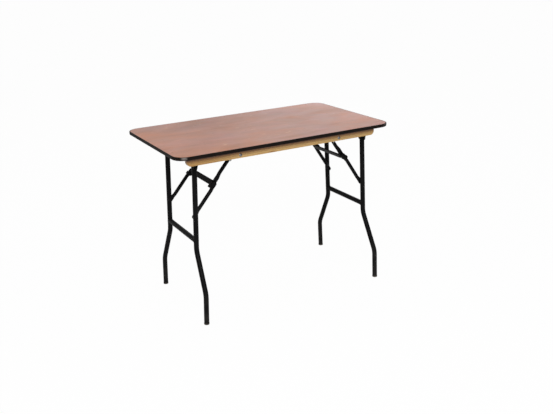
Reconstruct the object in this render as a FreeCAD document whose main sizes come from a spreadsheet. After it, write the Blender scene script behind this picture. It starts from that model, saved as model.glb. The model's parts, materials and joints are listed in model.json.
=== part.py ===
import FreeCAD, Part
import math
import os
import Sketcher

# Folding banquet table: a varnished plywood top with a rubber edge and two pine rails,
# on two steel wishbone leg frames. Each frame folds inboard under the top and is held
# open by a pair of two-piece stays that a flat link bar joins at the knuckles.
# Millimetres, +Z up, X along the top, origin on the floor under the middle of the top.

os.makedirs("parts", exist_ok=True)
doc = FreeCAD.newDocument("banquet_table")

# Driving dimensions, each written once
SIZES = {
    # top
    "table_length": 1020.0,
    "table_width": 590.0,
    "table_height": 760.0,
    "corner_radius": 54.0,
    "board_thickness": 12.0,
    "edging_wall": 4.0,
    "edging_depth": 14.0,
    "edging_round": 2.5,
    "tongue_thickness": 2.0,
    "tongue_depth": 9.0,
    "groove_gap": 0.1,
    # rails
    "rail_left_inset": 53.0,
    "rail_right_inset": 73.0,
    "rail_depth": 36.0,
    "rail_thickness": 18.0,
    "rail_inset": 30.0,
    "rail_end_round": 18.0,
    "left_bolt_inset": 287.0,
    "right_bolt_inset": 258.0,
    "rail_bolt_drop": 24.0,
    "rail_screw_inset": 50.0,
    "rail_screw_inner_reach": 120.0,
    # cleats behind the rails
    "cleat_width": 34.0,
    "cleat_leg": 34.0,
    "cleat_thickness": 3.0,
    "cleat_bend_radius": 3.0,
    # leg frames
    "left_pivot_inset": 132.0,
    "right_pivot_inset": 49.0,
    "pivot_drop": 92.0,
    "frame_lean": 2.15,
    "leg_diameter": 22.0,
    "leg_wall": 1.5,
    "leg_side_inset": 148.0,
    "foot_spread": 88.0,
    "upper_bend_height": 307.0,
    "lower_bend_height": 135.0,
    "bend_radius": 75.0,
    "leg_top_overrun": 13.0,
    "crossbar_diameter": 22.0,
    "crossbar_wall": 1.2,
    "crossbar_rise": 42.0,
    "weld_gap": 0.05,
    "foot_rim": 0.6,
    "foot_rim_height": 7.0,
    "foot_round": 1.6,
    "foot_stem": 20.0,
    # brackets
    "bracket_plate": 3.0,
    "bracket_length": 50.0,
    "bracket_flange": 18.0,
    "bracket_lobe": 8.0,
    "bracket_corner": 6.0,
    "leg_side_gap": 0.5,
    "stay_side_gap": 0.5,
    # stays
    "stay_diameter": 16.0,
    "left_stay_reach": 178.0,
    "right_stay_reach": 134.0,
    "stay_leg_reach": 216.0,
    "stay_washer": 1.0,
    "knuckle_gap": 6.0,
    "eye_radius": 9.5,
    "eye_thickness": 5.0,
    "flat_width": 20.0,
    "lower_flat_length": 14.0,
    "upper_flat_length": 33.0,
    "press_length": 18.0,
    "stay_end_overrun": 9.0,
    "link_bar_width": 24.0,
    "link_bar_thickness": 5.0,
    "link_bar_offset": 9.5,
    "link_bar_bend": 5.8,
    "link_tab_round": 6.0,
    "stop_tail": 15.0,
    "stop_length": 15.0,
    "stop_height": 4.0,
    "stop_overhang": 9.0,
    "stop_round": 3.6,
    # pins and fasteners
    "pivot_bolt_radius": 3.0,
    "stay_pin_radius": 3.0,
    "pin_clearance": 0.05,
    "bolt_head_across": 10.0,
    "bolt_head_depth": 4.0,
    "nut_depth": 5.0,
    "bolt_end": 2.0,
    "washer_radius": 8.0,
    "rivet_head_radius": 6.0,
    "rivet_head_depth": 2.0,
    "rivet_low_head_depth": 1.5,
    "face_gap": 0.3,
    "screw_radius": 2.0,
    "screw_head_radius": 4.0,
    "screw_head_depth": 1.8,
    "screw_grip": 8.0,
    "screw_fit": 0.05,
    "rail_bolt_radius": 3.0,
    "rail_bolt_head_radius": 7.0,
    "rail_bolt_head_depth": 3.0,
    "rail_nut_across": 10.0,
    "rail_nut_depth": 5.0,
    "counterbore_depth": 10.0,
}


def add_sheet(name, values):
    """A spreadsheet that holds one named plain number to a row."""
    sheet = doc.addObject("Spreadsheet::Sheet", name)
    for row, (alias, value) in enumerate(values.items(), start=1):
        sheet.set("A%d" % row, alias)
        sheet.set("B%d" % row, repr(value))
        sheet.setAlias("B%d" % row, alias)
    return sheet


def work_out(s):
    """Every size and place that follows from the driving dimensions."""
    d = {}
    lean = math.radians(s["frame_lean"])
    d["board_length"] = s["table_length"] - 2 * s["edging_wall"]
    d["board_width"] = s["table_width"] - 2 * s["edging_wall"]
    d["board_corner"] = s["corner_radius"] - s["edging_wall"]
    d["board_underside"] = s["table_height"] - s["board_thickness"]
    d["edging_bottom"] = s["table_height"] - s["edging_depth"]
    d["tongue_length"] = d["board_length"] - 2 * s["tongue_depth"]
    d["tongue_width"] = d["board_width"] - 2 * s["tongue_depth"]
    d["tongue_corner"] = d["board_corner"] - s["tongue_depth"]
    d["groove_length"] = d["tongue_length"] - 2 * s["groove_gap"]
    d["groove_width"] = d["tongue_width"] - 2 * s["groove_gap"]
    d["groove_corner"] = d["tongue_corner"] - s["groove_gap"]
    d["groove_height"] = s["tongue_thickness"] + 2 * s["groove_gap"]
    d["groove_level"] = (s["board_thickness"] - d["groove_height"]) / 2
    d["tongue_level"] = d["groove_level"] + s["groove_gap"] + s["edging_depth"] - s["board_thickness"]

    d["rail_outer"] = s["table_width"] / 2 - s["rail_inset"]
    d["rail_inner"] = d["rail_outer"] - s["rail_thickness"]
    d["rail_middle"] = d["rail_outer"] - s["rail_thickness"] / 2
    d["rail_length"] = s["table_length"] - s["rail_left_inset"] - s["rail_right_inset"]
    d["rail_centre_x"] = (s["rail_left_inset"] - s["rail_right_inset"]) / 2
    d["left_bolt_x"] = s["left_bolt_inset"] - s["table_length"] / 2
    d["right_bolt_x"] = s["table_length"] / 2 - s["right_bolt_inset"]
    d["left_bolt_offset"] = d["rail_centre_x"] - d["left_bolt_x"]
    d["right_bolt_offset"] = d["right_bolt_x"] - d["rail_centre_x"]
    d["rail_screw_reach"] = d["rail_length"] / 2 - s["rail_screw_inset"]
    d["rail_bolt_bore"] = s["rail_bolt_radius"] + s["pin_clearance"]
    d["screw_bore"] = s["screw_radius"] + s["screw_fit"]
    d["counterbore"] = s["screw_head_radius"] + s["face_gap"]

    d["pivot_height"] = s["table_height"] - s["pivot_drop"]
    d["left_pivot_x"] = s["left_pivot_inset"] - s["table_length"] / 2
    d["right_pivot_x"] = s["table_length"] / 2 - s["right_pivot_inset"]
    d["leg_length"] = d["pivot_height"] / math.cos(lean)
    d["upper_bend"] = (d["pivot_height"] - s["upper_bend_height"]) / math.cos(lean)
    d["lower_bend"] = (d["pivot_height"] - s["lower_bend_height"]) / math.cos(lean)
    crossbar_height = s["upper_bend_height"] + s["crossbar_rise"]
    d["crossbar_drop"] = (d["pivot_height"] - crossbar_height) / math.cos(lean)
    d["leg_gauge"] = s["table_width"] / 2 - s["leg_side_inset"]
    d["foot_gauge"] = d["leg_gauge"] + s["foot_spread"]
    d["leg_radius"] = s["leg_diameter"] / 2
    d["leg_bore_radius"] = d["leg_radius"] - s["leg_wall"]
    d["leg_end"] = d["leg_length"] - s["foot_rim_height"]
    d["crossbar_radius"] = s["crossbar_diameter"] / 2
    d["crossbar_bore_radius"] = d["crossbar_radius"] - s["crossbar_wall"]
    d["cope_radius"] = d["leg_radius"] + s["weld_gap"]
    d["crossbar_length"] = 2 * d["leg_gauge"]
    d["pivot_bore"] = s["pivot_bolt_radius"] + s["pin_clearance"]
    d["pin_bore"] = s["stay_pin_radius"] + s["pin_clearance"]
    d["foot_radius"] = d["leg_radius"] + s["foot_rim"]
    d["foot_stem_radius"] = d["leg_bore_radius"] - s["weld_gap"]

    d["bracket_drop"] = s["pivot_drop"] - s["board_thickness"] - s["bracket_plate"]
    d["leg_ear_gap"] = s["leg_diameter"] + 2 * s["leg_side_gap"]
    d["stay_ear_gap"] = s["stay_diameter"] + 2 * s["stay_side_gap"]
    for kind in ("leg", "stay"):
        d[kind + "_ear_face"] = d[kind + "_ear_gap"] / 2
        d[kind + "_plate_width"] = d[kind + "_ear_gap"] + 2 * (s["bracket_plate"] + s["bracket_flange"])
        d[kind + "_screw_y"] = d[kind + "_ear_gap"] / 2 + s["bracket_plate"] + s["bracket_flange"] / 2
    d["bracket_screw_x"] = s["bracket_length"] / 2 - s["bracket_flange"] / 2
    d["ear_base_half"] = s["bracket_length"] / 2 - s["bracket_corner"] / 2

    d["stay_foot_x"] = -s["stay_leg_reach"] * math.sin(lean)
    d["stay_foot_z"] = -s["stay_leg_reach"] * math.cos(lean)
    d["stay_radius"] = s["stay_diameter"] / 2
    d["lower_stay_gauge"] = d["leg_gauge"] - d["leg_radius"] - s["stay_washer"] - d["stay_radius"]
    d["upper_stay_gauge"] = d["lower_stay_gauge"] - s["stay_diameter"] - s["knuckle_gap"]
    d["flat_half_width"] = s["flat_width"] / 2
    d["flat_half_thickness"] = s["eye_thickness"] / 2
    d["flat_offset"] = (s["stay_diameter"] - s["eye_thickness"]) / 2
    d["link_bar_length"] = 2 * (d["upper_stay_gauge"] + d["flat_offset"] - d["flat_half_thickness"])
    d["flat_inner_face"] = d["flat_offset"] - d["flat_half_thickness"]
    d["lower_press_end"] = s["lower_flat_length"] + s["press_length"]
    d["link_bar_outside"] = s["link_bar_offset"] + s["link_bar_thickness"] / 2
    d["stop_level"] = d["flat_half_width"] + s["face_gap"]

    # A stay is straight between its two pivots when open, and doubled back on itself when folded
    for side in ("left_", "right_"):
        reach = s[side + "stay_reach"]
        span = math.hypot(reach - d["stay_foot_x"], d["stay_foot_z"])
        d[side + "stay_angle"] = math.degrees(math.atan2(-d["stay_foot_z"], reach - d["stay_foot_x"]))
        lower = (span + s["stay_leg_reach"] - reach) / 2
        upper = span - lower
        d[side + "lower_stay_length"] = lower
        d[side + "upper_stay_length"] = upper
        d[side + "lower_flat_start"] = lower - s["lower_flat_length"]
        d[side + "lower_press_start"] = d[side + "lower_flat_start"] - s["press_length"]
        d[side + "lower_tube_length"] = d[side + "lower_press_start"] - d["lower_press_end"]
        d[side + "upper_flat_start"] = upper - s["upper_flat_length"]
        d[side + "upper_press_start"] = d[side + "upper_flat_start"] - s["press_length"]
        d[side + "upper_tube_length"] = d[side + "upper_press_start"] + s["stay_end_overrun"]
        d[side + "stop_tail_end"] = upper + s["stop_tail"]
        d[side + "link_bar_start"] = upper - s["link_bar_width"] / 2
    return d


DERIVED = work_out(SIZES)
add_sheet("sizes", SIZES)
add_sheet("derived", DERIVED)
doc.recompute()

NEAR, FAR = -1, 1
LEFT, RIGHT = -1, 1
SIDE_WORD = {LEFT: "left", RIGHT: "right"}
ROW_WORD = {NEAR: "near", FAR: "far"}
PIVOT_X = {LEFT: DERIVED["left_pivot_x"], RIGHT: DERIVED["right_pivot_x"]}
BOLT_X = {LEFT: DERIVED["left_bolt_x"], RIGHT: DERIVED["right_bolt_x"]}
X_AXIS = FreeCAD.Vector(1, 0, 0)
Y_AXIS = FreeCAD.Vector(0, 1, 0)
Z_AXIS = FreeCAD.Vector(0, 0, 1)
ZERO = FreeCAD.Vector(0, 0, 0)
SUBPARTS = []
# Two places nearer than this are the same place
SAME = 1e-6


def size(name):
    """The number behind a named size."""
    return SIZES[name] if name in SIZES else DERIVED[name]


def side_name(side, name):
    """The full name of a size that each leg frame has its own value of."""
    return "%s_%s" % (SIDE_WORD[side], name)


def side_size(side, name):
    return size(side_name(side, name))


def bind(obj, prop, name, sign=""):
    """Tie a property to its cell, with a minus sign where one is asked for."""
    sheet = "sizes" if name in SIZES else "derived"
    obj.setExpression(prop, "%s%s.%s" % (sign, sheet, name))


# Sketch helpers

def new_body(label):
    body = doc.addObject("PartDesign::Body", label)
    body.Label = label
    return body


def plane_of(body, role):
    for feature in body.Origin.OriginFeatures:
        if feature.Role == role:
            return feature
    raise ValueError(role)


def new_sketch(body, name, role="XY_Plane", offset=None, sign=""):
    """A sketch on one of the body's own planes, lifted off it by a named size."""
    sketch = body.newObject("Sketcher::SketchObject", name)
    sketch.AttachmentSupport = [(plane_of(body, role), "")]
    sketch.MapMode = "FlatFace"
    if offset:
        value = -size(offset) if sign else size(offset)
        sketch.AttachmentOffset = FreeCAD.Placement(FreeCAD.Vector(0, 0, value), FreeCAD.Rotation())
        bind(sketch, "AttachmentOffset.Base.z", offset, sign)
    return sketch


def dimension(sketch, kind, refs, name):
    """A driving constraint whose value is a named size."""
    index = sketch.addConstraint(Sketcher.Constraint(kind, *refs, size(name)))
    label = "c%d_%s" % (index, name)
    sketch.renameConstraint(index, label)
    bind(sketch, "Constraints." + label, name)


def add_circle(sketch, radius, at=ZERO):
    """A circle of a named radius; away from the origin its place is a pair of named sizes."""
    return_index = sketch.addGeometry(Part.Circle(at, Z_AXIS, size(radius)), False)
    dimension(sketch, "Radius", (return_index,), radius)
    if at == ZERO:
        sketch.addConstraint(Sketcher.Constraint("Coincident", return_index, 3, -1, 1))
    return return_index


def centre_on_axis(sketch, index, along, name, sign):
    """Hold a circle's centre on one axis, a named distance from the origin."""
    on_axis = -1 if along == "X" else -2
    sketch.addConstraint(Sketcher.Constraint("PointOnObject", index, 3, on_axis))
    ends = (-1, 1, index, 3) if sign > 0 else (index, 3, -1, 1)
    dimension(sketch, "Distance" + along, ends, name)


def centre_off_axes(sketch, index, name_x, sign_x, name_y, sign_y):
    """Hold a circle's centre a named distance off both axes."""
    for along, name, sign in (("X", name_x, sign_x), ("Y", name_y, sign_y)):
        ends = (-1, 1, index, 3) if sign > 0 else (index, 3, -1, 1)
        dimension(sketch, "Distance" + along, ends, name)


def apart(sketch, along, first, second, name):
    """Hold two points a named distance apart on one axis, whichever of them comes first."""
    low, high = sorted((first, second), key=lambda end: getattr(sketch.getPoint(*end), along.lower()))
    dimension(sketch, "Distance" + along, (*low, *high), name)


def meet(sketch, kind, first, second):
    """Join two curves at the ends that meet; an arc may be stored turned round."""
    for a in (1, 2):
        for b in (1, 2):
            if sketch.getPoint(first, a).distanceToPoint(sketch.getPoint(second, b)) < SAME:
                sketch.addConstraint(Sketcher.Constraint(kind, first, a, second, b))
                return
    raise ValueError("the curves %d and %d do not meet" % (first, second))


def rectangle(sketch, width, height):
    """A rectangle about the origin."""
    x = size(width) / 2
    y = size(height) / 2
    corners = [FreeCAD.Vector(*p, 0) for p in ((-x, -y), (x, -y), (x, y), (-x, y))]
    first = sketch.GeometryCount
    for i in range(4):
        sketch.addGeometry(Part.LineSegment(corners[i], corners[(i + 1) % 4]), False)
    for i in range(4):
        sketch.addConstraint(Sketcher.Constraint("Coincident", first + i, 2, first + (i + 1) % 4, 1))
    for i, kind in enumerate(("Horizontal", "Vertical", "Horizontal", "Vertical")):
        sketch.addConstraint(Sketcher.Constraint(kind, first + i))
    sketch.addConstraint(Sketcher.Constraint("Symmetric", first, 1, first + 1, 2, -1, 1))
    dimension(sketch, "DistanceX", (first, 1, first, 2), width)
    dimension(sketch, "DistanceY", (first + 1, 1, first + 1, 2), height)


def rounded_rectangle(sketch, width, height, radius):
    """A rectangle about the origin with four round corners."""
    x = size(width) / 2
    y = size(height) / 2
    r = size(radius)
    first = sketch.GeometryCount
    sides = (((-x + r, -y), (x - r, -y)), ((x, -y + r), (x, y - r)),
             ((x - r, y), (-x + r, y)), ((-x, y - r), (-x, -y + r)))
    centres = ((x - r, -y + r), (x - r, y - r), (-x + r, y - r), (-x + r, -y + r))
    for i in range(4):
        ends = [FreeCAD.Vector(*p, 0) for p in sides[i]]
        sketch.addGeometry(Part.LineSegment(*ends), False)
        circle = Part.Circle(FreeCAD.Vector(*centres[i], 0), Z_AXIS, r)
        start = math.radians(90 * (i - 1))
        sketch.addGeometry(Part.ArcOfCircle(circle, start, start + math.pi / 2), False)
    for i in range(8):
        sketch.addConstraint(Sketcher.Constraint("Tangent", first + i, 2, first + (i + 1) % 8, 1))
    for i, kind in ((0, "Horizontal"), (4, "Horizontal"), (2, "Vertical"), (6, "Vertical")):
        sketch.addConstraint(Sketcher.Constraint(kind, first + i))
    for i in (1, 3, 5):
        sketch.addConstraint(Sketcher.Constraint("Equal", first + i, first + i + 2))
    dimension(sketch, "Radius", (first + 1,), radius)
    dimension(sketch, "DistanceX", (first + 6, 1, first + 2, 1), width)
    dimension(sketch, "DistanceY", (first, 1, first + 4, 1), height)
    sketch.addConstraint(Sketcher.Constraint("Symmetric", first + 1, 3, first + 5, 3, -1, 1))


def lobe(sketch, half_base, drop, radius):
    """A tapered ear: a straight base on the X axis, narrowing to a round end below it."""
    a = size(half_base)
    b = size(drop)
    r = size(radius)
    # Where a line from the base's corner touches the round end
    far = math.hypot(a, b)
    turn = math.atan2(b, a) + math.asin(r / far)
    run = math.sqrt(far * far - r * r)
    touch = FreeCAD.Vector(a - run * math.cos(turn), -run * math.sin(turn), 0)
    centre = FreeCAD.Vector(0, -b, 0)
    start = math.atan2(touch.y + b, touch.x)
    right = FreeCAD.Vector(a, 0, 0)
    left = FreeCAD.Vector(-a, 0, 0)
    other = FreeCAD.Vector(-touch.x, touch.y, 0)
    sketch.addGeometry(Part.LineSegment(left, right), False)
    sketch.addGeometry(Part.LineSegment(right, touch), False)
    circle = Part.Circle(centre, Z_AXIS, r)
    sketch.addGeometry(Part.ArcOfCircle(circle, math.pi - start, 2 * math.pi + start), False)
    sketch.addGeometry(Part.LineSegment(other, left), False)
    sketch.addConstraint(Sketcher.Constraint("Coincident", 0, 2, 1, 1))
    sketch.addConstraint(Sketcher.Constraint("Tangent", 1, 2, 2, 2))
    sketch.addConstraint(Sketcher.Constraint("Tangent", 2, 1, 3, 1))
    sketch.addConstraint(Sketcher.Constraint("Coincident", 3, 2, 0, 1))
    sketch.addConstraint(Sketcher.Constraint("Symmetric", 0, 1, 0, 2, -1, 1))
    sketch.addConstraint(Sketcher.Constraint("PointOnObject", 0, 1, -1))
    dimension(sketch, "Radius", (2,), radius)
    sketch.addConstraint(Sketcher.Constraint("PointOnObject", 2, 3, -2))
    dimension(sketch, "DistanceY", (2, 3, -1, 1), drop)
    dimension(sketch, "DistanceX", (-1, 1, 0, 2), half_base)


def pad(body, sketch, length, reverse=False):
    feature = body.newObject("PartDesign::Pad", "Pad")
    feature.Profile = sketch
    feature.Length = size(length)
    bind(feature, "Length", length)
    feature.Reversed = reverse
    doc.recompute()
    return feature


def pocket(body, sketch, length=None, reverse=False):
    """Cut a sketch out of the body, right through where no depth is named."""
    before = body.Shape.Volume
    feature = body.newObject("PartDesign::Pocket", "Pocket")
    feature.Profile = sketch
    if length:
        feature.Length = size(length)
        bind(feature, "Length", length)
    else:
        feature.Type = "ThroughAll"
        feature.SideType = "Symmetric"
    feature.Reversed = reverse
    doc.recompute()
    if not body.Shape.Volume < before:
        raise RuntimeError("the pocket in %s cuts nothing" % body.Label)
    return feature


def fillet(body, feature, radius, wanted):
    """Round the edges of a feature that the given test picks."""
    names = ["Edge%d" % (i + 1) for i, edge in enumerate(feature.Shape.Edges) if wanted(edge)]
    rounding = body.newObject("PartDesign::Fillet", "Fillet")
    rounding.Base = (feature, names)
    rounding.Radius = size(radius)
    bind(rounding, "Radius", radius)
    doc.recompute()
    return rounding


def runs_along(edge, axis):
    """True for a straight edge that lies along the given axis."""
    if not isinstance(edge.Curve, Part.Line):
        return False
    return abs(abs(edge.Curve.Direction.dot(axis)) - 1) < SAME


def finish(obj, placement=None):
    """Put a sub-part in its place and keep it for the export."""
    if placement:
        obj.Placement = placement
    SUBPARTS.append(obj)
    return obj


def turned(angle, x, y, z):
    """A place whose X axis points at an angle above +X in the upright plane along the table."""
    return FreeCAD.Placement(FreeCAD.Vector(x, y, z), FreeCAD.Rotation(Y_AXIS, -angle))


def solids(label, shapes):
    """Like pieces that share one node, as separate solids."""
    feature = doc.addObject("Part::Feature", label)
    feature.Label = label
    feature.Shape = Part.makeCompound(shapes)
    return finish(feature)


def stay_pivot_x(side):
    """Where the upper stays hang from their brackets."""
    return PIVOT_X[side] - side * side_size(side, "stay_reach")


# Top: board, rubber edging and rails

def screw_places():
    """Where each bracket's and cleat's screws enter the underside of the board."""
    places = []
    for side in (LEFT, RIGHT):
        for row in (NEAR, FAR):
            centres = (("leg", PIVOT_X[side], size("leg_gauge")),
                       ("stay", stay_pivot_x(side), size("upper_stay_gauge")))
            for kind, x, y in centres:
                for i in (-1, 1):
                    for j in (-1, 1):
                        places.append((x + i * size("bracket_screw_x"),
                                       row * y + j * size(kind + "_screw_y")))
    return places


def cleat_screw_places():
    y = size("rail_inner") - size("cleat_leg") / 2 - size("cleat_thickness") / 2
    return [(BOLT_X[side], row * y) for side in (LEFT, RIGHT) for row in (NEAR, FAR)]


def rail_screw_places():
    places = []
    for reach in (size("rail_screw_reach"), size("rail_screw_inner_reach")):
        for i in (-1, 1):
            for row in (NEAR, FAR):
                places.append((size("rail_centre_x") + i * reach, row * size("rail_middle")))
    return places


def make_board():
    body = new_body("board")
    outline = new_sketch(body, "board_outline")
    rounded_rectangle(outline, "board_length", "board_width", "board_corner")
    pad(body, outline, "board_thickness")
    slot = new_sketch(body, "edge_groove", offset="groove_level")
    rounded_rectangle(slot, "table_length", "table_width", "corner_radius")
    rounded_rectangle(slot, "groove_length", "groove_width", "groove_corner")
    pocket(body, slot, "groove_height", reverse=True)
    holes = new_sketch(body, "screw_holes")
    for x, y in screw_places() + cleat_screw_places() + rail_screw_places():
        index = add_circle(holes, "screw_bore", FreeCAD.Vector(x, y, 0))
        holes.addConstraint(Sketcher.Constraint("Block", index))
    pocket(body, holes, "screw_grip", reverse=True)
    body.Placement = FreeCAD.Placement(FreeCAD.Vector(0, 0, size("board_underside")), FreeCAD.Rotation())
    bind(body, "Placement.Base.z", "board_underside")
    finish(body)


def make_edging():
    """The rubber edge: a wall with a rounded face, and a tongue in the board's groove."""
    body = new_body("edge_moulding")
    wall = new_sketch(body, "wall")
    rounded_rectangle(wall, "table_length", "table_width", "corner_radius")
    rounded_rectangle(wall, "board_length", "board_width", "board_corner")
    pad(body, wall, "edging_depth")
    tongue = new_sketch(body, "tongue", offset="tongue_level")
    rounded_rectangle(tongue, "board_length", "board_width", "board_corner")
    rounded_rectangle(tongue, "tongue_length", "tongue_width", "tongue_corner")
    ring = pad(body, tongue, "tongue_thickness")
    reach = size("table_length") / 2
    side = size("table_width") / 2

    def outer(edge):
        box = edge.BoundBox
        level = abs(box.ZMax - box.ZMin) < SAME
        ends = box.ZMin < SAME or box.ZMax > size("edging_depth") - SAME
        outside = (max(abs(box.XMin), abs(box.XMax)) > reach - SAME
                   or max(abs(box.YMin), abs(box.YMax)) > side - SAME)
        return level and ends and outside

    fillet(body, ring, "edging_round", outer)
    body.Placement = FreeCAD.Placement(FreeCAD.Vector(0, 0, size("edging_bottom")), FreeCAD.Rotation())
    bind(body, "Placement.Base.z", "edging_bottom")
    finish(body)


def make_rail(row):
    """A pine rail, its lower corners rounded, bored for its bolts and its screws."""
    body = new_body("rail_" + ROW_WORD[row])
    outline = new_sketch(body, "rail_section", "XY_Plane")
    rectangle(outline, "rail_length", "rail_thickness")
    block = pad(body, outline, "rail_depth", reverse=True)
    low = -size("rail_depth") + SAME
    rounded = fillet(body, block, "rail_end_round",
                     lambda e: runs_along(e, Y_AXIS) and e.BoundBox.ZMax < low)
    body.Tip = rounded
    across = new_sketch(body, "bolt_bores", "XZ_Plane")
    for side in (LEFT, RIGHT):
        offset = SIDE_WORD[side] + "_bolt_offset"
        place = FreeCAD.Vector(side * size(offset), -size("rail_bolt_drop"), 0)
        index = add_circle(across, "rail_bolt_bore", place)
        centre_off_axes(across, index, offset, side, "rail_bolt_drop", -1)
    pocket(body, across)
    bores = (("screw_bores", "screw_bore", None), ("counterbores", "counterbore", "counterbore_depth"))
    for name, radius, depth in bores:
        upright = new_sketch(body, name, offset="rail_depth", sign="-")
        for reach in ("rail_screw_reach", "rail_screw_inner_reach"):
            for i in (-1, 1):
                index = add_circle(upright, radius, FreeCAD.Vector(i * size(reach), 0, 0))
                centre_on_axis(upright, index, "X", reach, i)
        pocket(body, upright, depth, reverse=bool(depth))
    place = FreeCAD.Vector(size("rail_centre_x"), row * size("rail_middle"), size("board_underside"))
    finish(body, FreeCAD.Placement(place, FreeCAD.Rotation()))


def make_cleat(side, row):
    """An angle cleat in the corner between a rail and the board."""
    label = "rail_cleat_%s_%s" % (SIDE_WORD[side], ROW_WORD[row])
    leg = size("cleat_leg")
    t = size("cleat_thickness")
    width = size("cleat_width")
    flat = Part.makeBox(width, leg, t, FreeCAD.Vector(-width / 2, -leg, -t))
    upright = Part.makeBox(width, t, leg, FreeCAD.Vector(-width / 2, -t, -leg))
    angle = flat.fuse(upright).removeSplitter()
    inner = [e for e in angle.Edges if runs_along(e, X_AXIS)
             and abs(e.BoundBox.YMax + t) < SAME and abs(e.BoundBox.ZMax + t) < SAME]
    angle = angle.makeFillet(size("cleat_bend_radius"), inner)
    bolt_line = FreeCAD.Vector(0, -leg, -size("rail_bolt_drop"))
    bolt = Part.makeCylinder(size("rail_bolt_bore"), leg, bolt_line, Y_AXIS)
    middle = -leg / 2 - t / 2
    screw = Part.makeCylinder(size("screw_bore"), leg, FreeCAD.Vector(0, middle, -leg), Z_AXIS)
    angle = angle.cut(bolt).cut(screw)
    feature = doc.addObject("Part::Feature", label)
    feature.Label = label
    feature.Shape = angle
    turn = 0 if row == FAR else 180
    place = FreeCAD.Vector(BOLT_X[side], row * size("rail_inner"), size("board_underside"))
    finish(feature, FreeCAD.Placement(place, FreeCAD.Rotation(Z_AXIS, turn)))


# Brackets under the board

def make_bracket(label, kind, bore, place):
    """A base plate with two tapered ears that hang down on each side of a tube."""
    body = new_body(label)
    base = new_sketch(body, "base", "XY_Plane")
    rectangle(base, "bracket_length", kind + "_plate_width")
    plate = pad(body, base, "bracket_plate")
    corners = fillet(body, plate, "bracket_corner", lambda e: runs_along(e, Z_AXIS))
    body.Tip = corners
    ear = new_sketch(body, "ear", "XZ_Plane", offset=kind + "_ear_face")
    lobe(ear, "ear_base_half", "bracket_drop", "bracket_lobe")
    first = pad(body, ear, "bracket_plate")
    second = body.newObject("PartDesign::Mirrored", "second_ear")
    second.Originals = [first]
    second.MirrorPlane = (plane_of(body, "XZ_Plane"), [""])
    body.Tip = second
    doc.recompute()
    hole = new_sketch(body, "pivot_hole", "XZ_Plane")
    index = add_circle(hole, bore, FreeCAD.Vector(0, -size("bracket_drop"), 0))
    centre_on_axis(hole, index, "Y", "bracket_drop", -1)
    pocket(body, hole)
    screws = new_sketch(body, "screw_holes", "XY_Plane")
    for i in (-1, 1):
        for j in (-1, 1):
            at = FreeCAD.Vector(i * size("bracket_screw_x"), j * size(kind + "_screw_y"), 0)
            index = add_circle(screws, "screw_bore", at)
            centre_off_axes(screws, index, "bracket_screw_x", i, kind + "_screw_y", j)
    pocket(body, screws)
    finish(body, FreeCAD.Placement(place, FreeCAD.Rotation()))


# Leg frames

def frame_place(side):
    """The place of a leg frame: its pivot line, leaning outboard towards the foot."""
    origin = FreeCAD.Vector(PIVOT_X[side], 0, size("pivot_height"))
    return FreeCAD.Placement(origin, FreeCAD.Rotation(Y_AXIS, -side * size("frame_lean")))


def bent_path(body, row):
    """The centre line of a leg: straight, out by the bends, and straight to the foot."""
    path = new_sketch(body, "leg_path", "YZ_Plane")
    y1 = row * size("leg_gauge")
    y2 = row * size("foot_gauge")
    z1 = -size("upper_bend")
    z2 = -size("lower_bend")
    r = size("bend_radius")
    slope = math.atan2(abs(y2 - y1), z1 - z2)
    tangent = r * math.tan(slope / 2)
    along = FreeCAD.Vector(row * math.sin(slope), -math.cos(slope), 0)
    top = FreeCAD.Vector(y1, size("leg_top_overrun"), 0)
    bend_1 = FreeCAD.Vector(y1, z1, 0)
    bend_2 = FreeCAD.Vector(y2, z2, 0)
    end = FreeCAD.Vector(y2, -size("leg_end"), 0)
    down = FreeCAD.Vector(0, -1, 0)
    out = FreeCAD.Vector(row, 0, 0)
    p = [top, bend_1 - down * tangent, bend_1 + along * tangent,
         bend_2 - along * tangent, bend_2 + down * tangent, end]
    mid_1 = arc_middle(p[1], p[1] + out * r, down, along)
    mid_2 = arc_middle(p[3], p[4] - out * r, along, down)
    pieces = [Part.LineSegment(p[0], p[1]), Part.Arc(p[1], mid_1, p[2]), Part.LineSegment(p[2], p[3]),
              Part.Arc(p[3], mid_2, p[4]), Part.LineSegment(p[4], p[5])]
    for piece in pieces:
        path.addGeometry(piece, False)
    path.addGeometry(Part.LineSegment(bend_1, bend_2), True)
    for i in range(4):
        meet(path, "Tangent", i, i + 1)
    path.addConstraint(Sketcher.Constraint("Vertical", 0))
    path.addConstraint(Sketcher.Constraint("Vertical", 4))
    path.addConstraint(Sketcher.Constraint("PointOnObject", 5, 1, 0))
    path.addConstraint(Sketcher.Constraint("PointOnObject", 5, 2, 4))
    path.addConstraint(Sketcher.Constraint("PointOnObject", 5, 1, 2))
    path.addConstraint(Sketcher.Constraint("PointOnObject", 5, 2, 2))
    path.addConstraint(Sketcher.Constraint("Equal", 1, 3))
    dimension(path, "Radius", (1,), "bend_radius")
    sideways = ((0, 1, "leg_gauge"), (4, 2, "foot_gauge"))
    for index, point, name in sideways:
        ends = (-1, 1, index, point) if row > 0 else (index, point, -1, 1)
        dimension(path, "DistanceX", ends, name)
    dimension(path, "DistanceY", (-1, 1, 0, 1), "leg_top_overrun")
    dimension(path, "DistanceY", (5, 1, -1, 1), "upper_bend")
    dimension(path, "DistanceY", (5, 2, -1, 1), "lower_bend")
    dimension(path, "DistanceY", (4, 2, -1, 1), "leg_end")
    doc.recompute()
    return path


def arc_middle(start, centre, before, after):
    """The middle point of the arc that starts going one way and ends going another."""
    radius = (start - centre).Length
    way = before + after
    way.normalize()
    side = FreeCAD.Vector(way.y, -way.x, 0)
    if side.dot(start - centre) < 0:
        side = -side
    return centre + side * radius


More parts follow.
